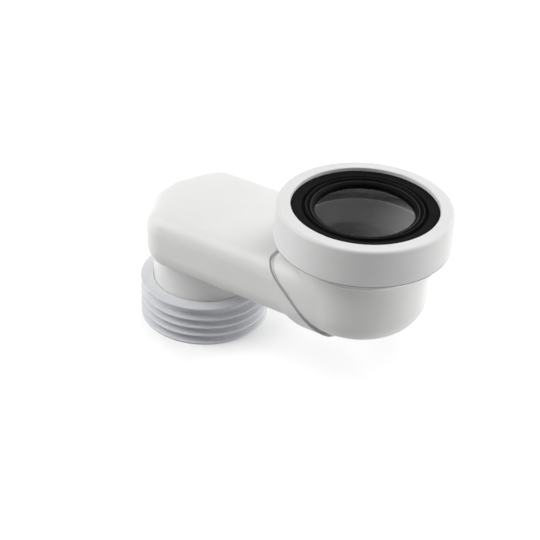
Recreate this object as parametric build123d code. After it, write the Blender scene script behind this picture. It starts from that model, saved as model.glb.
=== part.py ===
"""Offset pan connector: an upright inlet socket, a flat level duct and a finned outlet spigot.

Millimetres, +Z up. The outlet axis is Z through the origin, which lies on the end of the fin seal.
The inlet axis is parallel to it, INLET_OFFSET away along +X. The part is mirrored about the XZ plane.
"""
import os

from build123d import *

# Axes, and the heights that stack up from the end of the fin seal
INLET_OFFSET = 146.0
SPIGOT_SHOWN = 24.3
DUCT_HEIGHT = 50.0
BEAD_RISE = 3.4

# Moulded walls
WALL = 3.2

# Duct and hood
HOOD_END = 43.6
HOOD_END_HALF = 12.1
HOOD_CHAMFER_START = 22.8
HOOD_CORNER_RADIUS = 24.0
DUCT_TOP_RADIUS = 14.5
DUCT_BOTTOM_RADIUS = 20.0

# Inlet cup, with the neck that runs from it to the seam just inside the cup's own outline
CUP_RADIUS = 54.7
CUP_DROP = 3.5
CUP_CORNER_RADIUS = 24.0
NECK_INSET = 0.25

# Mitred lap joint between the two mouldings, on a plane at 45 degrees near the inner corner
SEAM_RISE = 1.2
SEAM_GAP = 2.8
TONGUE_INSET = 1.7
TONGUE_LENGTH = 7.5
TONGUE_CLEARANCE = 0.15
SLEEVE_LENGTH = 13.6
SLEEVE_DROP = 3.7

# Inlet socket above the cup, with a small bead round it below the cap
BORE_LEDGE = 0.7
BORE_LEDGE_DEPTH = 4.0
BEAD_RADIUS = 0.9
BEAD_PROUD = 0.5
SOCKET_STRAIGHT = 10.6
FLARE_HEIGHT = 3.5
CHAMBER_HEIGHT = 20.0
CHAMBER_RADIUS = 60.8

# Retaining cap that snaps over the socket
CAP_OPENING_RADIUS = 56.4
CAP_SKIRT = 26.5
CAP_WALL = 2.8
CAP_DRAFT = 1.1
CAP_TOP = 3.0
CAP_EDGE_RADIUS = 2.4
CAP_LIP_RADIUS = 0.8
CAP_CLEARANCE = 0.4
SNAP_BEAD = 1.2
SNAP_BEAD_HEIGHT = 1.4

# Black inlet seal clamped under the cap
SEAL_LIP_RADIUS = 38.0
SEAL_LIP_DEPTH = 4.6
SEAL_LIP_DROP = 1.3
SEAL_LIP_WIDTH = 2.4
SEAL_RIB_RADIUS = 44.0
SEAL_RIB_HEIGHT = 1.0
SEAL_RIB_HALF = 2.2
SEAL_FLAT_RADIUS = 48.5
SEAL_GROOVE = 1.6
SEAL_FLANGE = 2.3
SEAL_WEB = 4.4
SEAL_SKIRT = 2.8
SEAL_SKIRT_DEPTH = 9.0
SEAL_CLEARANCE = 0.2

# Outlet spigot and its push-on fin seal
SPIGOT_RADIUS = 43.1
SPIGOT_STOP = 3.0
FIN_SLEEVE_WALL = 4.6
FLANGE_THICKNESS = 1.8
FLANGE_GAP = 8.85
FIN_RADIUS = 54.6
FIN_COUNT = 4
FIN_PITCH = 7.9
FIN_TIP = 1.8
FIN_ROOT = 3.2

# Levels and radii that follow from the sizes above
FLANGE_BOTTOM = (FIN_COUNT - 1) * FIN_PITCH + FIN_TIP + FLANGE_GAP
FLANGE_TOP = FLANGE_BOTTOM + FLANGE_THICKNESS
DUCT_BOTTOM = FLANGE_TOP + SPIGOT_SHOWN
DUCT_TOP = DUCT_BOTTOM + DUCT_HEIGHT
DUCT_HALF_WIDTH = CUP_RADIUS - NECK_INSET
CUP_BOTTOM = DUCT_BOTTOM - CUP_DROP
SEAM_LEVEL = DUCT_TOP - CUP_RADIUS + SEAM_RISE
BEAD_LEVEL = DUCT_TOP + BEAD_RISE
FLARE_BOTTOM = BEAD_LEVEL + SOCKET_STRAIGHT
FLARE_TOP = FLARE_BOTTOM + FLARE_HEIGHT
CHAMBER_FLOOR = FLARE_TOP + WALL / 2
CHAMBER_OUTER = CHAMBER_RADIUS + WALL
CHAMBER_TOP = CHAMBER_FLOOR + CHAMBER_HEIGHT
CAP_UNDERSIDE = CHAMBER_TOP + SEAL_FLANGE
CAP_TOP_LEVEL = CAP_UNDERSIDE + CAP_TOP
CAP_INNER = CHAMBER_OUTER + CAP_CLEARANCE
SPIGOT_BORE = SPIGOT_RADIUS - WALL


def outline(points, rounded=()):
    """A flat face from its corner points. rounded holds (index of a point, radius) pairs."""
    face = make_face(Polyline(*points, close=True))
    for index, radius in rounded:
        corner = Vertex(points[index][0], points[index][1], 0)
        face = fillet(face.vertices().sort_by_distance(corner)[0], radius)
    return face


def turned(points, x=0.0, rounded=()):
    """Revolve an outline of (radius, height) points about a vertical axis at x."""
    return Pos(x, 0, 0) * revolve(Plane.XZ * outline(points, rounded), Axis.Z)


def seam_side(distance, towards_inlet):
    """A block that fills one side of the slanted seam plane, moved along its normal by distance."""
    reach = 4 * INLET_OFFSET
    plane = Plane(origin=(INLET_OFFSET, 0, SEAM_LEVEL), x_dir=(0, 1, 0), z_dir=(1, 0, 1)).offset(distance)
    block = Box(reach, reach, reach, align=(Align.CENTER, Align.CENTER, Align.MIN))
    return plane * (block if towards_inlet else Rot(180, 0, 0) * block)


def hood_plan(inset):
    """The duct from above: two chamfers close the hood, and level sides run to the inlet axis."""
    near_side = [
        (INLET_OFFSET, DUCT_HALF_WIDTH),
        (-HOOD_CHAMFER_START, DUCT_HALF_WIDTH),
        (-HOOD_END, HOOD_END_HALF),
    ]
    far_side = [(x, -y) for x, y in reversed(near_side)]
    plan = outline(near_side + far_side, [(corner, HOOD_CORNER_RADIUS) for corner in (1, 2, 3, 4)])
    if inset:
        plan = offset(plan, -inset)
    return plan


def hood_body(inset=0.0):
    """Duct and hood as one solid, rounded above and below, shrunk by inset all round."""
    body = Pos(0, 0, DUCT_BOTTOM + inset) * extrude(hood_plan(inset), DUCT_HEIGHT - 2 * inset)
    for place, radius in ((0, DUCT_BOTTOM_RADIUS), (-1, DUCT_TOP_RADIUS)):
        face = body.faces().sort_by(Axis.Z)[place]
        rim = [edge for edge in face.edges() if edge.center().X < INLET_OFFSET - inset - 1]
        body = fillet(rim, radius - inset)
    return body


def neck_body(inset, drop=0.0):
    """The straight duct beside the cup, as deep as the cup, shrunk by inset and lowered by drop."""
    half = DUCT_HALF_WIDTH - inset
    bottom = CUP_BOTTOM + NECK_INSET + inset - drop
    top = DUCT_TOP - inset
    low = CUP_CORNER_RADIUS - NECK_INSET - inset
    high = DUCT_TOP_RADIUS - inset
    corners = [(-half, bottom), (half, bottom), (half, top), (-half, top)]
    section = outline(corners, [(0, low), (1, low), (2, high), (3, high)])
    return extrude(Plane.YZ * section, INLET_OFFSET)


def cup_body(inset, drop=0.0, top=BEAD_LEVEL):
    """The round cup with its rounded bottom corner, shrunk by inset and lowered by drop."""
    radius = CUP_RADIUS - inset
    bottom = CUP_BOTTOM + inset - drop
    corners = [(0, bottom), (radius, bottom), (radius, top), (0, top)]
    return turned(corners, INLET_OFFSET, [(1, CUP_CORNER_RADIUS - inset)])


def elbow_body(inset, drop=0.0):
    """Cup and neck together."""
    return cup_body(inset, drop) + neck_body(inset, drop)


def socket_outer():
    """The socket above the cup: a small bead, a flare and the wall of the seal chamber."""
    bead = Torus(CUP_RADIUS + BEAD_PROUD - BEAD_RADIUS, BEAD_RADIUS)
    socket = turned([
        (0, BEAD_LEVEL), (CUP_RADIUS, BEAD_LEVEL), (CUP_RADIUS, FLARE_BOTTOM),
        (CHAMBER_OUTER, FLARE_TOP), (CHAMBER_OUTER, CHAMBER_TOP), (0, CHAMBER_TOP),
    ], INLET_OFFSET)
    return socket + Pos(INLET_OFFSET, 0, BEAD_LEVEL) * bead


def socket_inner():
    """The bore above the small ledge, and the wider chamber that holds the seal."""
    ledge_level = DUCT_TOP - BORE_LEDGE_DEPTH
    bore = CUP_RADIUS - WALL + BORE_LEDGE
    above = CHAMBER_TOP + CHAMBER_HEIGHT
    return turned([
        (0, ledge_level), (bore, ledge_level), (bore, CHAMBER_FLOOR),
        (CHAMBER_RADIUS, CHAMBER_FLOOR), (CHAMBER_RADIUS, above), (0, above),
    ], INLET_OFFSET)


def inlet_elbow():
    """Right-hand moulding: cup, socket and the tongue of the lap joint."""
    inlet_side = seam_side(SEAM_GAP / 2, True)
    shell = (elbow_body(0.0) + socket_outer()) & inlet_side
    tongue = elbow_body(TONGUE_INSET) & seam_side(-TONGUE_LENGTH, True) & seam_side(SEAM_GAP, False)
    return shell + tongue - elbow_body(WALL) - socket_inner()


def spigot(radius, bottom):
    """A plain round stub from a level up into the middle of the duct."""
    height = DUCT_BOTTOM + DUCT_HEIGHT / 2 - bottom
    return Pos(0, 0, bottom) * Cylinder(radius, height, align=(Align.CENTER, Align.CENTER, Align.MIN))


def offset_duct():
    """Left-hand moulding: hood, duct, outlet spigot and the deeper sleeve round the tongue."""
    sleeve_start = -SLEEVE_LENGTH
    rebate_end = -TONGUE_LENGTH - TONGUE_CLEARANCE
    duct = (hood_body() + spigot(SPIGOT_RADIUS, SPIGOT_STOP)) & seam_side(sleeve_start, False)
    sleeve = elbow_body(0.0, SLEEVE_DROP) & seam_side(sleeve_start, True) & seam_side(-SEAM_GAP / 2, False)
    rebate = elbow_body(TONGUE_INSET - TONGUE_CLEARANCE) & seam_side(rebate_end, True)
    hollow = (hood_body(WALL) + spigot(SPIGOT_BORE, 0.0)) & seam_side(rebate_end, False)
    return duct + sleeve - rebate - hollow


def retaining_cap():
    """Ring with a drafted skirt, a flat top with a round opening and a snap bead at its foot."""
    foot = CAP_UNDERSIDE - CAP_SKIRT
    outer = CAP_INNER + CAP_WALL
    bead_top = foot + SNAP_BEAD_HEIGHT
    return turned([
        (CAP_INNER - SNAP_BEAD, foot), (outer + CAP_DRAFT, foot), (outer, CAP_TOP_LEVEL),
        (CAP_OPENING_RADIUS, CAP_TOP_LEVEL), (CAP_OPENING_RADIUS, CAP_UNDERSIDE), (CAP_INNER, CAP_UNDERSIDE),
        (CAP_INNER, bead_top + SNAP_BEAD), (CAP_INNER - SNAP_BEAD, bead_top),
    ], INLET_OFFSET, [(2, CAP_EDGE_RADIUS), (3, CAP_LIP_RADIUS)])


def inlet_seal():
    """Rubber seal: a flange under the cap, a skirt in the chamber, a rib and an inward lip."""
    top = CAP_UNDERSIDE
    groove = top - SEAL_GROOVE
    lip_top = top - SEAL_LIP_DROP
    lip_outer = SEAL_LIP_RADIUS + SEAL_LIP_WIDTH
    under = top - SEAL_WEB
    skirt = CHAMBER_RADIUS - SEAL_CLEARANCE
    skirt_end = CHAMBER_TOP - SEAL_SKIRT_DEPTH
    flange = CHAMBER_OUTER - SEAL_CLEARANCE
    rib_in = SEAL_RIB_RADIUS - SEAL_RIB_HALF
    rib_out = SEAL_RIB_RADIUS + SEAL_RIB_HALF
    return turned([
        (flange, top), (flange, CHAMBER_TOP), (skirt, CHAMBER_TOP), (skirt, skirt_end),
        (skirt - SEAL_SKIRT, skirt_end), (skirt - SEAL_SKIRT, under), (lip_outer, under),
        (lip_outer, lip_top - SEAL_LIP_DEPTH), (SEAL_LIP_RADIUS, lip_top - SEAL_LIP_DEPTH),
        (SEAL_LIP_RADIUS, lip_top), (lip_outer, groove), (rib_in, groove),
        (SEAL_RIB_RADIUS, top + SEAL_RIB_HEIGHT), (rib_out, groove), (SEAL_FLAT_RADIUS - SEAL_GROOVE, groove),
        (SEAL_FLAT_RADIUS, top),
    ], INLET_OFFSET)


def fin(level, root_radius):
    """One fin, flat below and thicker towards its root, with a round land at its tip."""
    return turned([
        (SPIGOT_RADIUS, level), (FIN_RADIUS, level), (FIN_RADIUS, level + FIN_TIP),
        (root_radius, level + FIN_ROOT), (SPIGOT_RADIUS, level + FIN_ROOT),
    ])


def outlet_fin_seal():
    """Soft sleeve on the spigot with a stop lip under its end, a flange and a row of fins."""
    root = SPIGOT_RADIUS + FIN_SLEEVE_WALL
    seal = turned([
        (SPIGOT_BORE, 0), (root, 0), (root, FLANGE_BOTTOM), (FIN_RADIUS, FLANGE_BOTTOM),
        (FIN_RADIUS, FLANGE_TOP), (SPIGOT_RADIUS, FLANGE_TOP), (SPIGOT_RADIUS, SPIGOT_STOP),
        (SPIGOT_BORE, SPIGOT_STOP),
    ])
    for number in range(FIN_COUNT):
        seal += fin(number * FIN_PITCH, root)
    return seal


PIECES = {
    "inlet_elbow": inlet_elbow,
    "offset_duct": offset_duct,
    "retaining_cap": retaining_cap,
    "inlet_seal": inlet_seal,
    "outlet_fin_seal": outlet_fin_seal,
}

os.makedirs("parts", exist_ok=True)
for name, make in PIECES.items():
    piece = make()
    export_step(piece, f"parts/{name}.step")
    box = piece.bounding_box()
    print(f"{name}: {len(piece.solids())} solid, {piece.volume / 1000:.1f} cm3, z {box.min.Z:.1f} to {box.max.Z:.1f}")
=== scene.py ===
# %% [markdown]
# # An offset pan connector, dressed for a studio picture
#
# This plumbing part joins a toilet pan to a soil pipe that stands off to one side. The pan's outlet pushes
# down into the black seal at the right, the water runs along a flat level duct, and it leaves through the
# finned spigot at the left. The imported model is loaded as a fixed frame: its three hard mouldings keep their
# meshes and get new finishes, and its two soft seals are modelled again here. Blender works in metres, so
# the part's own sizes are written in millimetres and multiplied by MM.

# %% Load the frame
import math

import bmesh
import bpy
from mathutils import Matrix, Vector


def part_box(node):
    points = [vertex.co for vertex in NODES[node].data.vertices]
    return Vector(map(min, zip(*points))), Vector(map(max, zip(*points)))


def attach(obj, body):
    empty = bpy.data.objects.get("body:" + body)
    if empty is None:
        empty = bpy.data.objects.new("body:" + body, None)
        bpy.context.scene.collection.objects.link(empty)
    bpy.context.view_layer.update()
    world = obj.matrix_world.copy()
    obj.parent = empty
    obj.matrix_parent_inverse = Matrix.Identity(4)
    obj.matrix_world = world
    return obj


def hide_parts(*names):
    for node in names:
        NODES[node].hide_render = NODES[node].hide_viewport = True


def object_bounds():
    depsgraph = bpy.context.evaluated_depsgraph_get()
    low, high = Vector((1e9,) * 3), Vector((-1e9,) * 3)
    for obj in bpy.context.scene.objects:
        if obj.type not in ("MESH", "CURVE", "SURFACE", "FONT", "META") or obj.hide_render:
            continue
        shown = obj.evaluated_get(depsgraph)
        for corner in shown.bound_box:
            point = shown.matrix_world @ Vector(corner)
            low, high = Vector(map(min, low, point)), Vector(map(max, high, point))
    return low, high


MM = 0.001

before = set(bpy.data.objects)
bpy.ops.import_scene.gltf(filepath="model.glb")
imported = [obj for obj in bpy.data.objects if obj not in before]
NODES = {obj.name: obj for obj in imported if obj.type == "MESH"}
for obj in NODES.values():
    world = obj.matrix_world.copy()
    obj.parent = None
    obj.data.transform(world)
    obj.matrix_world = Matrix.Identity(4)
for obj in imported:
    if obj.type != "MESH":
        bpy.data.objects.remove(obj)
CAD_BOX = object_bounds()
print("nodes:", ", ".join(sorted(NODES)))
print("box in mm:", [[round(value / MM, 1) for value in corner] for corner in CAD_BOX])

# %% [markdown]
# ## Camera
#
# The picture was taken from above and to the right, with a long lens, so the round parts show as almost
# true ellipses. Azimuth and elevation are given as on a turntable: azimuth 0 looks along +Y. A small roll
# tips the horizon. A camera could be aimed with a Track To constraint, but that cannot roll it, so it is
# built from its three axes. This also shows plainly which way it looks: along its own -Z.

# %% Camera
SENSOR_WIDTH = 36.0
FRAME_PIXELS = 540.0
FOCAL_PIXELS = 1250.0
VIEW_AZIMUTH = math.radians(31.47)
VIEW_ELEVATION = math.radians(33.57)
VIEW_ROLL = math.radians(2.51)
VIEW_DISTANCE = 1022.21 * MM
VIEW_TARGET = Vector((64.7, 0.0, 63.72)) * MM


def turntable_direction(azimuth, elevation):
    """The direction from the object to a thing that stands at this azimuth and elevation."""
    level = math.cos(elevation)
    return Vector((math.sin(azimuth) * level, -math.cos(azimuth) * level, math.sin(elevation)))


def add_camera():
    """A long-lens camera that looks at the target from the picture's own angle."""
    back = turntable_direction(VIEW_AZIMUTH, VIEW_ELEVATION)
    right = Vector((math.cos(VIEW_AZIMUTH), math.sin(VIEW_AZIMUTH), 0.0))
    up = back.cross(right)
    rolled_right = right * math.cos(VIEW_ROLL) + up * math.sin(VIEW_ROLL)
    rolled_up = up * math.cos(VIEW_ROLL) - right * math.sin(VIEW_ROLL)
    bpy.ops.object.select_all(action="DESELECT")
    bpy.ops.object.camera_add()
    camera = bpy.context.object
    camera.name = "studio_camera"
    camera.data.sensor_width = SENSOR_WIDTH
    camera.data.lens = FOCAL_PIXELS / FRAME_PIXELS * SENSOR_WIDTH
    axes = Matrix((rolled_right, rolled_up, back)).transposed().to_4x4()
    camera.matrix_world = Matrix.Translation(VIEW_TARGET + back * VIEW_DISTANCE) @ axes
    bpy.context.scene.camera = camera
    return camera


camera = add_camera()
print("camera at", [round(v, 3) for v in camera.location], "lens", round(camera.data.lens, 1), "mm")

# %% [markdown]
# ## Drawing a round piece from its section
#
# Both seals are rings: one section goes all the way round an axis. A ring could be made from a cylinder by
# many scaled extrusions, but rubber seals are designed by their section, so that is what is drawn. A small
# plane is merged to a single point, the point is extruded from corner to corner, the corners are rounded
# with a vertex bevel, and the outline is spun round the axis. Spin leaves a double seam where it closes, so
# the doubles are merged and the normals are made to face outwards.

# %% Helpers that draw a section
TOUCH = 0.01 * MM
ROUNDING_STEPS = 4
SPIN_STEPS = 180
SMOOTH_ANGLE = math.radians(38)


def start_section(name, place):
    """One point, selected in edit mode, in an object that sits at the origin."""
    bpy.ops.object.select_all(action="DESELECT")
    bpy.ops.mesh.primitive_plane_add(size=MM, location=place)
    piece = bpy.context.object
    piece.name = name
    piece.data.name = name
    bpy.ops.object.transform_apply(location=True, rotation=False, scale=False)
    bpy.ops.object.mode_set(mode="EDIT")
    bpy.ops.mesh.select_mode(type="VERT")
    bpy.ops.mesh.merge(type="CENTER")
    return piece


def select_points(piece, places):
    """In edit mode, select only the points that lie at the given places."""
    bpy.ops.mesh.select_all(action="DESELECT")
    bpy.ops.object.mode_set(mode="OBJECT")
    for point in piece.data.vertices:
        point.select = any((point.co - place).length < TOUCH for place in places)
    bpy.ops.object.mode_set(mode="EDIT")


def trace_outline(piece, places):
    """Extrude the first point from place to place, close the loop and fill it."""
    for here, there in zip(places, places[1:]):
        bpy.ops.mesh.extrude_region_move(TRANSFORM_OT_translate={"value": there - here})
    select_points(piece, [places[0], places[-1]])
    bpy.ops.mesh.edge_face_add()
    bpy.ops.mesh.select_all(action="SELECT")
    bpy.ops.mesh.edge_face_add()


def round_corners(piece, places, cuts):
    """Bevel each corner by its own cut, the corners with the same cut together."""
    for cut in sorted(set(cuts)):
        select_points(piece, [place for place, own in zip(places, cuts) if own == cut])
        bpy.ops.mesh.bevel(offset=cut * MM, segments=ROUNDING_STEPS, affect="VERTICES", profile=0.5)


def spin_outline(axis_x):
    """Turn the outline round a vertical axis into one closed skin, and leave edit mode."""
    bpy.ops.mesh.select_all(action="SELECT")
    bpy.ops.mesh.delete(type="ONLY_FACE")
    bpy.ops.mesh.select_all(action="SELECT")
    bpy.ops.mesh.spin(steps=SPIN_STEPS, angle=math.tau, center=(axis_x, 0, 0), axis=(0, 0, 1))
    bpy.ops.mesh.select_all(action="SELECT")
    bpy.ops.mesh.remove_doubles(threshold=TOUCH / 10)
    bpy.ops.mesh.normals_make_consistent(inside=False)
    bpy.ops.object.mode_set(mode="OBJECT")
    bpy.ops.object.shade_smooth_by_angle(angle=SMOOTH_ANGLE)


def turned_ring(name, axis_x, section):
    """A ring from its section: (radius, height, rounding) corners in millimetres, in order."""
    places = [Vector((axis_x + radius * MM, 0.0, height * MM)) for radius, height, _ in section]
    piece = start_section(name, places[0])
    trace_outline(piece, places)
    round_corners(piece, places, [cut for _, _, cut in section])
    spin_outline(axis_x)
    return piece


def describe(piece):
    """Print what a finished piece measures: its faces, volume and open edges."""
    mesh = bmesh.new()
    mesh.from_mesh(piece.data)
    open_edges = sum(1 for edge in mesh.edges if not edge.is_manifold)
    volume = mesh.calc_volume(signed=True) / MM ** 3 / 1000
    print(f"{piece.name}: {len(mesh.faces)} faces, {volume:.1f} cm3, {open_edges} open edges")
    mesh.free()


print("a ring is spun in", SPIN_STEPS, "steps")

# %% [markdown]
# ## The black inlet seal
#
# The seal is a moulded rubber ring under the cap. From the outside in, its section has a flange that the cap
# clamps, a skirt that drops into the chamber, a flat top, a groove, a raised rib, a shallow valley and a
# soft lip that grips the pan's outlet. The rib and the lip catch the light as thin bright circles, so each
# of them gets its own rounding. Heights are measured from the underside of the cap.

# %% Model the inlet seal
SEAL_LOW, SEAL_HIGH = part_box("inlet_seal")
INLET_AXIS = (SEAL_LOW[0] + SEAL_HIGH[0]) / 2
RIB_HEIGHT = 1.0
CLAMP_LEVEL = SEAL_HIGH[2] / MM - RIB_HEIGHT
SKIRT_END = SEAL_LOW[2] / MM - CLAMP_LEVEL
FLANGE_OUTER = (SEAL_HIGH[0] - SEAL_LOW[0]) / 2 / MM
FLANGE_UNDER = -2.3
WEB_UNDER = -4.4
SKIRT_OUTER, SKIRT_INNER = 60.6, 57.8
LIP_INNER, LIP_OUTER, LIP_END = 38.0, 40.5, -5.9
LIP_EDGE, LIP_SHOULDER = -1.6, -0.25
VALLEY_RADIUS, VALLEY_LEVEL = 42.7, -2.2
RIB_RADIUS = 44.6
GROOVE_INNER, GROOVE_OUTER, GROOVE_LEVEL = 46.1, 46.9, -2.6
FLAT_INNER = 48.0

seal_section = [
    (FLANGE_OUTER, 0.0, 0.3),
    (FLANGE_OUTER, FLANGE_UNDER, 0.3),
    (SKIRT_OUTER, FLANGE_UNDER, 0.2),
    (SKIRT_OUTER, SKIRT_END, 0.7),
    (SKIRT_INNER, SKIRT_END, 0.7),
    (SKIRT_INNER, WEB_UNDER, 1.2),
    (LIP_OUTER + 0.9, WEB_UNDER, 0.8),
    (LIP_OUTER, LIP_END, 0.7),
    (LIP_INNER, LIP_END, 0.7),
    (LIP_INNER, LIP_EDGE, 1.0),
    (LIP_OUTER + 0.6, LIP_SHOULDER, 0.5),
    (VALLEY_RADIUS, VALLEY_LEVEL, 0.5),
    (RIB_RADIUS, RIB_HEIGHT, 0.6),
    (GROOVE_INNER, GROOVE_LEVEL, 0.3),
    (GROOVE_OUTER, GROOVE_LEVEL, 0.3),
    (FLAT_INNER, 0.0, 0.4),
]
inlet_seal = turned_ring(
    "inlet_seal_rubber",
    INLET_AXIS,
    [(radius, CLAMP_LEVEL + height, cut) for radius, height, cut in seal_section],
)
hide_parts("inlet_seal")
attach(inlet_seal, "root")
describe(inlet_seal)

# %% [markdown]
# ## The white outlet fin seal
#
# A soft sleeve is pushed onto the spigot, with a lip under its end that stops it. A flange and four thin fins
# stand out from it, and they bend as they go into the soil pipe. Each fin is flat below and thicker at its
# root, with a rounded tip, so light runs along its rim and a shadow sits under it. The four fins repeat, so
# one fin's corners are written once and shifted up by the pitch.

# %% Model the outlet fin seal
FIN_LOW, FIN_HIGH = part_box("outlet_fin_seal")
FIN_RADIUS = min(FIN_HIGH[0], -FIN_LOW[0]) / MM
SLEEVE_TOP = FIN_HIGH[2] / MM
SLEEVE_ROOT = 47.7
SLEEVE_BORE, STOP_BORE, STOP_HEIGHT = 43.1, 39.9, 3.0
COLLAR_GAP, COLLAR_DEPTH = 0.8, 1.6
FLANGE_THICKNESS = 1.8
FIN_COUNT, FIN_PITCH = 4, 7.9
FIN_TIP_THICKNESS, FIN_ROOT_THICKNESS = 1.8, 3.2

fin_section = [(STOP_BORE, 0.0, 0.5)]
for number in range(FIN_COUNT):
    level = number * FIN_PITCH
    if number:
        fin_section.append((SLEEVE_ROOT, level, 0.8))
    fin_section.append((FIN_RADIUS, level, 0.9))
    fin_section.append((FIN_RADIUS, level + FIN_TIP_THICKNESS, 0.7))
    fin_section.append((SLEEVE_ROOT, level + FIN_ROOT_THICKNESS, 1.0))
fin_section += [
    (SLEEVE_ROOT, SLEEVE_TOP - FLANGE_THICKNESS, 1.0),
    (FIN_RADIUS, SLEEVE_TOP - FLANGE_THICKNESS, 0.5),
    (FIN_RADIUS, SLEEVE_TOP, 0.7),
    (SLEEVE_BORE + COLLAR_GAP, SLEEVE_TOP, 0.3),
    (SLEEVE_BORE + COLLAR_GAP, SLEEVE_TOP - COLLAR_DEPTH, 0.1),
    (SLEEVE_BORE, SLEEVE_TOP - COLLAR_DEPTH, 0.1),
    (SLEEVE_BORE, STOP_HEIGHT, 0.2),
    (STOP_BORE, STOP_HEIGHT, 0.4),
]
fin_seal = turned_ring("outlet_fin_rubber", 0.0, fin_section)
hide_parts("outlet_fin_seal")
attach(fin_seal, "root")
describe(fin_seal)

# %% [markdown]
# ## A shared skin for moulded surfaces
#
# No moulded surface is one flat colour. The polymer flows into the tool in faint clouds, the tool's own
# texture leaves a very fine grain, and the sheen differs a little from place to place. All four finishes have
# these, at different sizes, so they are built once as a node group. Painting image textures would do as
# well, but noise on Object coordinates needs no unwrapping and has no seams. The group puts out a colour, a
# roughness and a height; the shader itself stays in each material.

# %% Node group: moulded skin


def add_node(tree, kind, **settings):
    """A node with some of its settings changed."""
    node = tree.nodes.new(kind)
    for setting, value in settings.items():
        setattr(node, setting, value)
    return node


def object_place(tree):
    """Where a point lies, in the part's own frame."""
    return add_node(tree, "ShaderNodeTexCoord").outputs["Object"]


def add_noise(tree, place, scale, detail):
    """A noise texture that reads a place, with its scale from a socket."""
    noise = add_node(tree, "ShaderNodeTexNoise")
    noise.inputs["Detail"].default_value = detail
    tree.links.new(place, noise.inputs["Vector"])
    tree.links.new(scale, noise.inputs["Scale"])
    return noise.outputs["Fac"]


def add_range(tree, value, low, high, out_low, out_high):
    """Map a value from one range to another; each bound of the result is a number or a socket."""
    mapped = add_node(tree, "ShaderNodeMapRange")
    tree.links.new(value, mapped.inputs["Value"])
    mapped.inputs["From Min"].default_value = low
    mapped.inputs["From Max"].default_value = high
    for socket, bound in (("To Min", out_low), ("To Max", out_high)):
        if isinstance(bound, float):
            mapped.inputs[socket].default_value = bound
        else:
            tree.links.new(bound, mapped.inputs[socket])
    return mapped.outputs["Result"]


def add_mix(tree, factor, first, second):
    """Mix two colours by a factor; each colour is an RGB triple or a socket."""
    mix = add_node(tree, "ShaderNodeMix", data_type="RGBA")
    tree.links.new(factor, mix.inputs["Factor"])
    for socket, colour in ((mix.inputs[6], first), (mix.inputs[7], second)):
        if isinstance(colour, tuple):
            socket.default_value = (*colour, 1.0)
        else:
            tree.links.new(colour, socket)
    return mix.outputs[2]


def build_skin_group():
    """Clouded colour, patchy roughness and a fine grain, all from Object coordinates."""
    tree = bpy.data.node_groups.new("moulded_skin", "ShaderNodeTree")
    for name, kind in (("Light", "NodeSocketColor"), ("Deep", "NodeSocketColor"),
                       ("Cloud Scale", "NodeSocketFloat"), ("Grain Scale", "NodeSocketFloat"),
                       ("Glossy", "NodeSocketFloat"), ("Dull", "NodeSocketFloat")):
        tree.interface.new_socket(name, in_out="INPUT", socket_type=kind)
    for name, kind in (("Color", "NodeSocketColor"), ("Roughness", "NodeSocketFloat"),
                       ("Height", "NodeSocketFloat")):
        tree.interface.new_socket(name, in_out="OUTPUT", socket_type=kind)
    inside = add_node(tree, "NodeGroupInput").outputs
    outside = add_node(tree, "NodeGroupOutput").inputs
    place = object_place(tree)
    cloud = add_noise(tree, place, inside["Cloud Scale"], 3.0)
    grain = add_noise(tree, place, inside["Grain Scale"], 2.0)
    softened = add_range(tree, cloud, 0.3, 0.7, 0.0, 1.0)
    tree.links.new(add_mix(tree, softened, inside["Deep"], inside["Light"]), outside["Color"])
    patchy = add_range(tree, cloud, 0.35, 0.65, inside["Dull"], inside["Glossy"])
    tree.links.new(patchy, outside["Roughness"])
    tree.links.new(grain, outside["Height"])
    return tree


skin_group = build_skin_group()
print("skin group:", len(skin_group.nodes), "nodes")

# %% [markdown]
# ## Dust that settles on what faces up
#
# Black rubber never looks quite black from above: a little powder from the mould and some dust lie on what
# faces up, and thin out on the slopes. A second group gives that as a mask, from the up part of the surface
# normal times a patchy noise. White plastic gets the same mask, where dust reads as slightly grey.

# %% Node group: settled dust


def add_math(tree, operation, first, second):
    """One step of arithmetic on two sockets, kept between none and one."""
    step = add_node(tree, "ShaderNodeMath", operation=operation, use_clamp=True)
    tree.links.new(first, step.inputs[0])
    tree.links.new(second, step.inputs[1])
    return step.outputs[0]


def build_dust_group():
    """A mask that is highest on level faces, broken up by noise."""
    tree = bpy.data.node_groups.new("settled_dust", "ShaderNodeTree")
    tree.interface.new_socket("Patch Scale", in_out="INPUT", socket_type="NodeSocketFloat")
    tree.interface.new_socket("Amount", in_out="INPUT", socket_type="NodeSocketFloat")
    tree.interface.new_socket("Mask", in_out="OUTPUT", socket_type="NodeSocketFloat")
    inside = add_node(tree, "NodeGroupInput").outputs
    outside = add_node(tree, "NodeGroupOutput").inputs
    noise = add_noise(tree, object_place(tree), inside["Patch Scale"], 4.0)
    patches = add_range(tree, noise, 0.35, 0.7, 0.2, 1.0)
    split = add_node(tree, "ShaderNodeSeparateXYZ")
    tree.links.new(add_node(tree, "ShaderNodeNewGeometry").outputs["Normal"], split.inputs["Vector"])
    level = add_range(tree, split.outputs["Z"], 0.2, 1.0, 0.0, 1.0)
    lying = add_math(tree, "MULTIPLY", level, patches)
    tree.links.new(add_math(tree, "MULTIPLY", lying, inside["Amount"]), outside["Mask"])
    return tree


dust_group = build_dust_group()
print("dust group:", len(dust_group.nodes), "nodes")

# %% [markdown]
# ## Building one finish
#
# Every finish is a Principled shader fed by the skin group and the dust mask. What is the same all over, such
# as the specular level, is set on the shader's own socket. The grain feeds a Bump node, whose distance is
# the real depth of the texture.

# %% One function for all finishes


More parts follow.
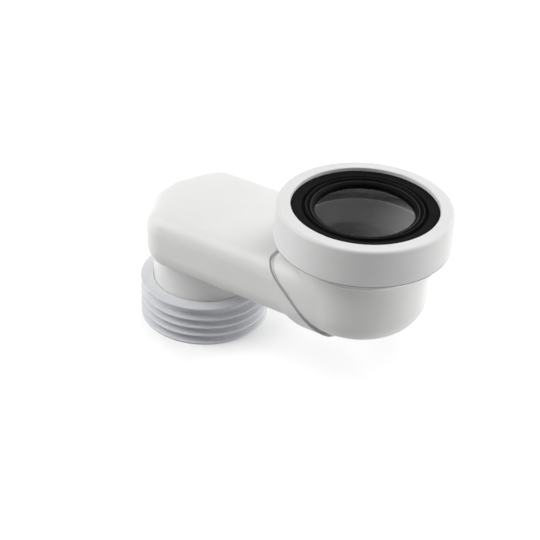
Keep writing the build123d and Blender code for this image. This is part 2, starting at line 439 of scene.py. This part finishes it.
def start_finish(name, light, deep, cloud_mm, grain_mm, glossy, dull):
    """A material with a skin group in it; sizes are the width of one cloud and of one grain."""
    material = bpy.data.materials.new(name)
    material.use_nodes = True
    tree = material.node_tree
    skin = add_node(tree, "ShaderNodeGroup", node_tree=skin_group)
    skin.inputs["Light"].default_value = (*light, 1.0)
    skin.inputs["Deep"].default_value = (*deep, 1.0)
    skin.inputs["Cloud Scale"].default_value = 1 / (cloud_mm * MM)
    skin.inputs["Grain Scale"].default_value = 1 / (grain_mm * MM)
    skin.inputs["Glossy"].default_value = glossy
    skin.inputs["Dull"].default_value = dull
    return material, skin


def add_dust(tree, colour, dust_colour, patch_mm, amount):
    """Lay dust over a colour socket and return the dusted colour."""
    dust = add_node(tree, "ShaderNodeGroup", node_tree=dust_group)
    dust.inputs["Patch Scale"].default_value = 1 / (patch_mm * MM)
    dust.inputs["Amount"].default_value = amount
    return add_mix(tree, dust.outputs["Mask"], colour, dust_colour)


def finish_surface(material, skin, colour, grain_depth_mm):
    """Wire the colour, the roughness and the grain of a finish to its shader."""
    tree = material.node_tree
    shader = tree.nodes["Principled BSDF"]
    bump = add_node(tree, "ShaderNodeBump")
    bump.inputs["Strength"].default_value = 1.0
    bump.inputs["Distance"].default_value = grain_depth_mm * MM
    tree.links.new(skin.outputs["Height"], bump.inputs["Height"])
    tree.links.new(bump.outputs["Normal"], shader.inputs["Normal"])
    tree.links.new(skin.outputs["Roughness"], shader.inputs["Roughness"])
    tree.links.new(colour, shader.inputs["Base Color"])
    return shader


def dress(piece, material):
    """Give a piece this finish and no other."""
    piece.data.materials.clear()
    piece.data.materials.append(material)


print("finishes share", len(bpy.data.node_groups), "node groups")

# %% [markdown]
# ## Masks that find a place on the part
#
# Some finishes change from place to place: the joint's groove and the inside of the socket are painted grey as
# shade, and the crest of the rubber rib is painted greyer as a highlight. Each could be a material slot of its
# own, but then its edge would follow the mesh. Here a mask is worked out from where a point lies and which way
# it faces, so its edge can be as soft as it is on the real part. Lengths are in millimetres, and every mask
# runs from none to one.

# %% Masks from places


def distance_from(tree, value, middle):
    """How far a value lies from a middle, on either side."""
    away = add_node(tree, "ShaderNodeMath", operation="SUBTRACT")
    tree.links.new(value, away.inputs[0])
    away.inputs[1].default_value = middle
    size = add_node(tree, "ShaderNodeMath", operation="ABSOLUTE")
    tree.links.new(away.outputs[0], size.inputs[0])
    return size.outputs[0]


def height_mask(tree, low, high):
    """None below one level and one above another."""
    split = add_node(tree, "ShaderNodeSeparateXYZ")
    tree.links.new(object_place(tree), split.inputs["Vector"])
    return add_range(tree, split.outputs["Z"], low * MM, high * MM, 0.0, 1.0)


def level_band(tree, low, high, soft):
    """One between two levels, fading to none inside both ends."""
    below_top = height_mask(tree, high - soft, high)
    return add_math(tree, "SUBTRACT", height_mask(tree, low, low + soft), below_top)


def ring_mask(tree, radius, half_width):
    """One on a circle round the inlet axis, fading to none on both sides."""
    level = add_node(tree, "ShaderNodeVectorMath", operation="MULTIPLY_ADD")
    tree.links.new(object_place(tree), level.inputs[0])
    level.inputs[1].default_value = (1.0, 1.0, 0.0)
    level.inputs[2].default_value = (-INLET_AXIS, 0.0, 0.0)
    out = add_node(tree, "ShaderNodeVectorMath", operation="LENGTH")
    tree.links.new(level.outputs["Vector"], out.inputs[0])
    aside = distance_from(tree, out.outputs["Value"], radius * MM)
    return add_range(tree, aside, 0.0, half_width * MM, 1.0, 0.0)


def facing_mask(tree, direction, low, high):
    """One on faces that turn towards a direction, a vector or a socket; low and high are cosines."""
    facing = add_node(tree, "ShaderNodeVectorMath", operation="DOT_PRODUCT")
    tree.links.new(add_node(tree, "ShaderNodeNewGeometry").outputs["Normal"], facing.inputs[0])
    if isinstance(direction, tuple):
        facing.inputs[1].default_value = direction
    else:
        tree.links.new(direction, facing.inputs[1])
    return add_range(tree, facing.outputs["Value"], low, high, 0.0, 1.0)


print("the inlet axis stands at x =", round(INLET_AXIS / MM, 1), "mm")

# %% [markdown]
# ## The joint and the inside of the socket
#
# The elbow slides into the duct, and an open slanted groove shows where they meet. Its floor lies in the
# shade of both edges, and that shade is painted on: grey from the middle of the groove to the elbow's side,
# fading to near white on the duct's end face. The groove lies between two parallel planes, so the distance
# from its middle plane is enough to find it; that plane meets the inlet axis at JOINT_LEVEL. Little light
# reaches the inside of the socket, so the walls that face its middle are painted grey as shade. The groove's
# end face looks the same way as they do, and is left out.

# %% Masks for the joint and the socket
JOINT_NORMAL = (math.sqrt(0.5), 0.0, math.sqrt(0.5))
JOINT_LEVEL = 56.95
JOINT_MIDDLE = (INLET_AXIS + JOINT_LEVEL * MM) * JOINT_NORMAL[0]
JOINT_HALF = 1.4
JOINT_SOFT = 0.2
BORE_LEVEL = 104.0
BORE_REACH, BORE_FADE = 72.0, 1.1


def joint_place(tree):
    """How far along the joint's normal a point lies, in metres."""
    along = add_node(tree, "ShaderNodeVectorMath", operation="DOT_PRODUCT")
    tree.links.new(object_place(tree), along.inputs[0])
    along.inputs[1].default_value = JOINT_NORMAL
    return along.outputs["Value"]


def groove_mask(tree):
    """One inside the slanted groove, none outside."""
    half = JOINT_HALF * MM
    aside = distance_from(tree, joint_place(tree), JOINT_MIDDLE)
    return add_range(tree, aside, half, half + JOINT_SOFT * MM, 1.0, 0.0)


def bore_mask(tree, groove):
    """One on the walls that face the middle of the socket, none far away and on the groove's end face."""
    inward = add_node(tree, "ShaderNodeVectorMath", operation="SUBTRACT")
    inward.inputs[0].default_value = (INLET_AXIS, 0.0, BORE_LEVEL * MM)
    tree.links.new(object_place(tree), inward.inputs[1])
    aim = add_node(tree, "ShaderNodeVectorMath", operation="NORMALIZE")
    tree.links.new(inward.outputs["Vector"], aim.inputs[0])
    reach = add_node(tree, "ShaderNodeVectorMath", operation="LENGTH")
    tree.links.new(inward.outputs["Vector"], reach.inputs[0])
    near = add_range(tree, reach.outputs["Value"], BORE_REACH * MM, BORE_FADE * BORE_REACH * MM, 1.0, 0.0)
    walls = add_math(tree, "MULTIPLY", facing_mask(tree, aim.outputs["Vector"], 0.02, 0.15), near)
    end_face = add_math(tree, "MULTIPLY", facing_mask(tree, JOINT_NORMAL, 0.9, 0.98), groove)
    return add_math(tree, "SUBTRACT", walls, end_face)


print("the joint lies", round(JOINT_MIDDLE / MM, 1), "mm along its normal")

# %% [markdown]
# ## A soft blend from the neck to the cup
#
# On the real part the flat neck runs into the round cup without a hard line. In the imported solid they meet
# at a crease. Its mesh stays as it is, and the shading normal is rounded instead: a Bevel node looks at the
# faces around a point and averages their normals. It works only near the cup's wall and below the bead, so
# that the joint and the bead stay crisp.

# %% Rounded normal
CUP_RADIUS = 54.7
BLEND_RADIUS = 8.0
BLEND_START, BLEND_END, BLEND_SOFT = 88.0, 112.5, 3.0


def blended_normal(tree):
    """The surface normal, rounded off where the neck runs into the cup."""
    rounded = add_node(tree, "ShaderNodeBevel", samples=8)
    rounded.inputs["Radius"].default_value = BLEND_RADIUS * MM
    near = add_range(tree, ring_mask(tree, CUP_RADIUS, 1.5 * BLEND_RADIUS), 0.0, 0.5, 0.0, 1.0)
    strength = add_math(tree, "MULTIPLY", near, level_band(tree, BLEND_START, BLEND_END, BLEND_SOFT))
    mix = add_node(tree, "ShaderNodeMix", data_type="VECTOR")
    tree.links.new(strength, mix.inputs["Factor"])
    tree.links.new(add_node(tree, "ShaderNodeNewGeometry").outputs["Normal"], mix.inputs[4])
    tree.links.new(rounded.outputs["Normal"], mix.inputs[5])
    return mix.outputs[1]


print("the blend reaches", BLEND_RADIUS, "mm from the crease")

# %% [markdown]
# ## White moulding
#
# The elbow and the duct are moulded in white plastic with a satin gloss. The masks lay their colours over
# it one by one, the last on top: dust, painted shade on the wall that goes up under the cap, a painted
# highlight on the bead below it, painted shade in the joint's groove, painted shade on the bore, and painted
# light on the chamber that holds the seal, which lies in deep shade.

# %% Finish for the elbow and the duct
WHITE_LIGHT = (0.86, 0.86, 0.85)
WHITE_DEEP = (0.83, 0.83, 0.82)
DUST_GREY = (0.62, 0.61, 0.59)
RECESS_SHADE_GREY = (0.70, 0.70, 0.70)
BEAD_HIGHLIGHT_PALE = (0.97, 0.97, 0.965)
JOINT_PALE = (0.88, 0.88, 0.88)
JOINT_SHADE_GREY = (0.48, 0.485, 0.49)
BORE_SHADE_GREY = (0.62, 0.62, 0.62)
LEDGE_LIGHT_WHITE = (0.96, 0.96, 0.96)
BEAD_START, BEAD_END, BEAD_SOFT = 112.8, 114.9, 0.4
RECESS_END = 128.0

white, white_skin = start_finish(
    "moulded_white", WHITE_LIGHT, WHITE_DEEP, cloud_mm=60.0, grain_mm=1.2, glossy=0.36, dull=0.44
)
tree = white.node_tree
dusted = add_dust(tree, white_skin.outputs["Color"], DUST_GREY, patch_mm=12.0, amount=0.06)
# Painted shade: the wall under the cap's overhang, from the bead up to RECESS_END, is painted grey.
recess_shade = level_band(tree, BEAD_END - BEAD_SOFT, RECESS_END, BEAD_SOFT)
recess_shaded = add_mix(tree, recess_shade, dusted, RECESS_SHADE_GREY)
# Painted highlight: the bead below the cap is painted paler, for the light line along its rim.
bead_highlighted = add_mix(tree, level_band(tree, BEAD_START, BEAD_END, BEAD_SOFT), recess_shaded, BEAD_HIGHLIGHT_PALE)
# Painted shade: the groove's floor is painted grey, fading to near white towards the duct's end face.
across = add_range(tree, joint_place(tree), JOINT_MIDDLE - JOINT_HALF * MM, JOINT_MIDDLE, 0.0, 1.0)
groove = groove_mask(tree)
joint_shaded = add_mix(tree, groove, bead_highlighted, add_mix(tree, across, JOINT_PALE, JOINT_SHADE_GREY))
# Painted shade: the walls that face the middle of the socket, where little light reaches, are painted grey.
bore_shaded = add_mix(tree, bore_mask(tree, groove), joint_shaded, BORE_SHADE_GREY)
# Painted light: above RECESS_END the chamber that holds the seal, deep in shade, is painted paler.
ledge_lit = add_mix(tree, height_mask(tree, RECESS_END, RECESS_END + 1.0), bore_shaded, LEDGE_LIGHT_WHITE)
finish_surface(white, white_skin, ledge_lit, grain_depth_mm=0.003)
tree.links.new(blended_normal(tree), tree.nodes["Bump"].inputs["Normal"])
for node in ("inlet_elbow", "offset_duct"):
    dress(NODES[node], white)
print("moulded white:", len(tree.nodes), "nodes")

# %% [markdown]
# ## The cap
#
# The cap is moulded on its own, in a slightly greyer white with a duller sheen and smaller clouds. A thin
# dark line of shade runs along its foot, where it meets the socket. It could be a small step in the mesh, but
# that mesh stays as it is packed, so the shade is painted on as a thin grey band at the foot.

# %% Finish for the cap
CAP_LIGHT = (0.80, 0.80, 0.795)
CAP_DEEP = (0.77, 0.77, 0.765)
FOOT_SHADE_GREY = (0.34, 0.34, 0.34)
CAP_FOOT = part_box("retaining_cap")[0][2] / MM
FOOT_LINE, FOOT_LINE_END = 0.5, 1.0

cap_white, cap_skin = start_finish(
    "cap_white", CAP_LIGHT, CAP_DEEP, cloud_mm=35.0, grain_mm=1.0, glossy=0.46, dull=0.54
)
tree = cap_white.node_tree
# Painted shade: a thin grey band along the cap's foot, where it meets the socket.
above_foot = height_mask(tree, CAP_FOOT + FOOT_LINE, CAP_FOOT + FOOT_LINE_END)
foot_shaded = add_mix(tree, above_foot, FOOT_SHADE_GREY, cap_skin.outputs["Color"])
dusted = add_dust(tree, foot_shaded, DUST_GREY, patch_mm=9.0, amount=0.05)
finish_surface(cap_white, cap_skin, dusted, grain_depth_mm=0.003)
dress(NODES["retaining_cap"], cap_white)
print("cap white:", len(tree.nodes), "nodes")

# %% [markdown]
# ## Black rubber
#
# The seal is smooth black rubber, and a little bloom lies on what faces up. The studio around it is white,
# and a full reflection of that would turn the black to grey, so the specular level is low. The rib and the
# shoulder of the lip stand up and catch the light as thin bright lines; with so little specular, these
# highlights are painted on, as a grey on the rib's crest and on the lip's shoulder, lighter than the valley.

# %% Finish for the inlet seal
BLACK_LIGHT = (0.007, 0.007, 0.0072)
BLACK_DEEP = (0.0045, 0.0045, 0.0047)
BLOOM_GREY = (0.09, 0.09, 0.092)
CREST_HIGHLIGHT_GREY = (0.07, 0.07, 0.071)
SHOULDER_HIGHLIGHT_HALF = 0.5
CREST_START = 0.35
RUBBER_SPECULAR = 0.02

black_rubber, black_skin = start_finish(
    "seal_black_rubber", BLACK_LIGHT, BLACK_DEEP, cloud_mm=14.0, grain_mm=0.35, glossy=0.42, dull=0.55
)
tree = black_rubber.node_tree
# Painted highlight: the rib's crest and the lip's shoulder are painted grey, lighter than the black.
rib_crest = height_mask(tree, CLAMP_LEVEL + CREST_START, CLAMP_LEVEL + RIB_HEIGHT)
rib_highlighted = add_mix(tree, rib_crest, black_skin.outputs["Color"], CREST_HIGHLIGHT_GREY)
lip_highlighted = add_mix(tree, ring_mask(tree, LIP_OUTER + SHOULDER_HIGHLIGHT_HALF, SHOULDER_HIGHLIGHT_HALF), rib_highlighted, CREST_HIGHLIGHT_GREY)
bloomed = add_dust(tree, lip_highlighted, BLOOM_GREY, patch_mm=5.0, amount=0.015)
shader = finish_surface(black_rubber, black_skin, bloomed, grain_depth_mm=0.01)
shader.inputs["Specular IOR Level"].default_value = RUBBER_SPECULAR
dress(inlet_seal, black_rubber)
print("black rubber:", len(tree.nodes), "nodes")

# %% [markdown]
# ## White rubber
#
# The fin seal is soft white rubber. Next to the plastic it is matt and a little bluish, and its grain is
# coarser. Dust gathers more on it, because rubber holds it.

# %% Finish for the outlet fin seal
FIN_LIGHT = (0.79, 0.796, 0.828)
FIN_DEEP = (0.75, 0.756, 0.786)

fin_rubber, fin_skin = start_finish(
    "fin_white_rubber", FIN_LIGHT, FIN_DEEP, cloud_mm=20.0, grain_mm=0.6, glossy=0.5, dull=0.62
)
tree = fin_rubber.node_tree
dusted = add_dust(tree, fin_skin.outputs["Color"], DUST_GREY, patch_mm=6.0, amount=0.08)
finish_surface(fin_rubber, fin_skin, dusted, grain_depth_mm=0.012)
dress(fin_seal, fin_rubber)
print("white rubber:", len(tree.nodes), "nodes")

# %% [markdown]
# ## Floor and background
#
# The part stands on a white sweep that fades into a white background, with only a soft shadow. A floor lit
# until it is white would throw too much light back up at the part. Instead the floor is a mid grey for the
# light that bounces, and a Light Path node adds a white glow that only the camera, reflections and glass see.
# Near the part some of the lit surface stays in it, so the shadow shows; farther off the glow grows to white.
# The glow stands for light from all round, which the part blocks where it touches the floor, so an Ambient
# Occlusion node dims it there.

# %% Floor and world
PART_MIDDLE = (Vector(CAD_BOX[0]) + Vector(CAD_BOX[1])) / 2
FLOOR_SIZE = 8.0
FLOOR_BOUNCE = 0.52
FLOOR_SHOWN = 0.9
FLOOR_GLOW = 0.36
SHADOW_REACH, SHADOW_END = 0.09, 0.2
CONTACT_REACH = 0.04
WORLD_LIGHT = 0.04


def add_seen_mask(tree):
    """One for rays from the camera, reflections and glass, none for light that bounces."""
    path = add_node(tree, "ShaderNodeLightPath")
    total = path.outputs["Is Camera Ray"]
    for name in ("Is Glossy Ray", "Is Transmission Ray"):
        total = add_math(tree, "ADD", total, path.outputs[name])
    return total


def floor_material():
    """Grey for bounced light; a glow and a pale lit surface for what is seen."""
    material = bpy.data.materials.new("studio_floor")
    material.use_nodes = True
    tree = material.node_tree
    tree.nodes.remove(tree.nodes["Principled BSDF"])
    bounce = add_node(tree, "ShaderNodeBsdfDiffuse")
    bounce.inputs["Color"].default_value = (FLOOR_BOUNCE, FLOOR_BOUNCE, FLOOR_BOUNCE, 1.0)
    shown = add_node(tree, "ShaderNodeBsdfDiffuse")
    shown.inputs["Color"].default_value = (FLOOR_SHOWN, FLOOR_SHOWN, FLOOR_SHOWN, 1.0)
    glow = add_node(tree, "ShaderNodeEmission")
    away = add_node(tree, "ShaderNodeVectorMath", operation="DISTANCE")
    tree.links.new(object_place(tree), away.inputs[0])
    away.inputs[1].default_value = (PART_MIDDLE.x, PART_MIDDLE.y, 0.0)
    brighter = add_range(tree, away.outputs["Value"], SHADOW_REACH, SHADOW_END, FLOOR_GLOW, 1.0)
    contact = add_node(tree, "ShaderNodeAmbientOcclusion")
    contact.inputs["Distance"].default_value = CONTACT_REACH
    dimmed = add_math(tree, "MULTIPLY", brighter, contact.outputs["AO"])
    tree.links.new(dimmed, glow.inputs["Strength"])
    seen = add_node(tree, "ShaderNodeAddShader")
    tree.links.new(shown.outputs[0], seen.inputs[0])
    tree.links.new(glow.outputs[0], seen.inputs[1])
    mix = add_node(tree, "ShaderNodeMixShader")
    tree.links.new(add_seen_mask(tree), mix.inputs[0])
    tree.links.new(bounce.outputs[0], mix.inputs[1])
    tree.links.new(seen.outputs[0], mix.inputs[2])
    tree.links.new(mix.outputs[0], tree.nodes["Material Output"].inputs["Surface"])
    return material


def add_world():
    """A dim even world for the light, and plain white for what is seen."""
    world = bpy.data.worlds.new("studio_world")
    world.use_nodes = True
    tree = world.node_tree
    background = tree.nodes["Background"]
    background.inputs["Color"].default_value = (1.0, 1.0, 1.0, 1.0)
    strength = add_range(tree, add_seen_mask(tree), 0.0, 1.0, WORLD_LIGHT, 1.0)
    tree.links.new(strength, background.inputs["Strength"])
    bpy.context.scene.world = world


bpy.ops.object.select_all(action="DESELECT")
bpy.ops.mesh.primitive_plane_add(size=FLOOR_SIZE)
floor = bpy.context.object
floor.name = "studio_floor"
floor.data.materials.append(floor_material())
add_world()
print("floor", FLOOR_SIZE, "m, world light", WORLD_LIGHT)

# %% [markdown]
# ## Softboxes round the part
#
# In the picture the round parts are brightest at both sides and darkest in the middle, and the tops are
# evenly light. So the light comes from two softboxes on the left, one on the right and one behind, with
# almost none in front. Large lamps far away give even light and soft shadows; those on the right and in front
# hang low, so they are smaller, or the floor would cut them off.

# %% Softboxes
LAMP_DISTANCE = 2.4


def add_softbox(name, azimuth, elevation, size, watts):
    """A square area lamp that faces the part from a turntable direction."""
    away = turntable_direction(math.radians(azimuth), math.radians(elevation))
    bpy.ops.object.select_all(action="DESELECT")
    bpy.ops.object.light_add(type="AREA", location=PART_MIDDLE + away * LAMP_DISTANCE)
    lamp = bpy.context.object
    lamp.name = name
    lamp.rotation_euler = away.to_track_quat("Z", "Y").to_euler()
    lamp.data.size = size
    lamp.data.energy = watts
    return lamp


# name, azimuth, elevation, size in metres, power in watts
SOFTBOXES = (
    ("softbox_left", -60.0, 25.0, 1.8, 21.0),
    ("softbox_left_high", -50.0, 52.0, 1.8, 31.5),
    ("softbox_right", 115.0, 12.0, 1.2, 28.5),
    ("softbox_back", 160.0, 45.0, 1.8, 33.0),
    ("softbox_front", 30.0, 12.0, 1.2, 0.5),
)
for softbox in SOFTBOXES:
    lamp = add_softbox(*softbox)
    print(lamp.name, "at", [round(v, 2) for v in lamp.location], lamp.data.energy, "W")

# %% [markdown]
# ## Finish
#
# The Standard view shows colours as they are written.

# %% Finish
bpy.context.scene.view_settings.view_transform = "Standard"
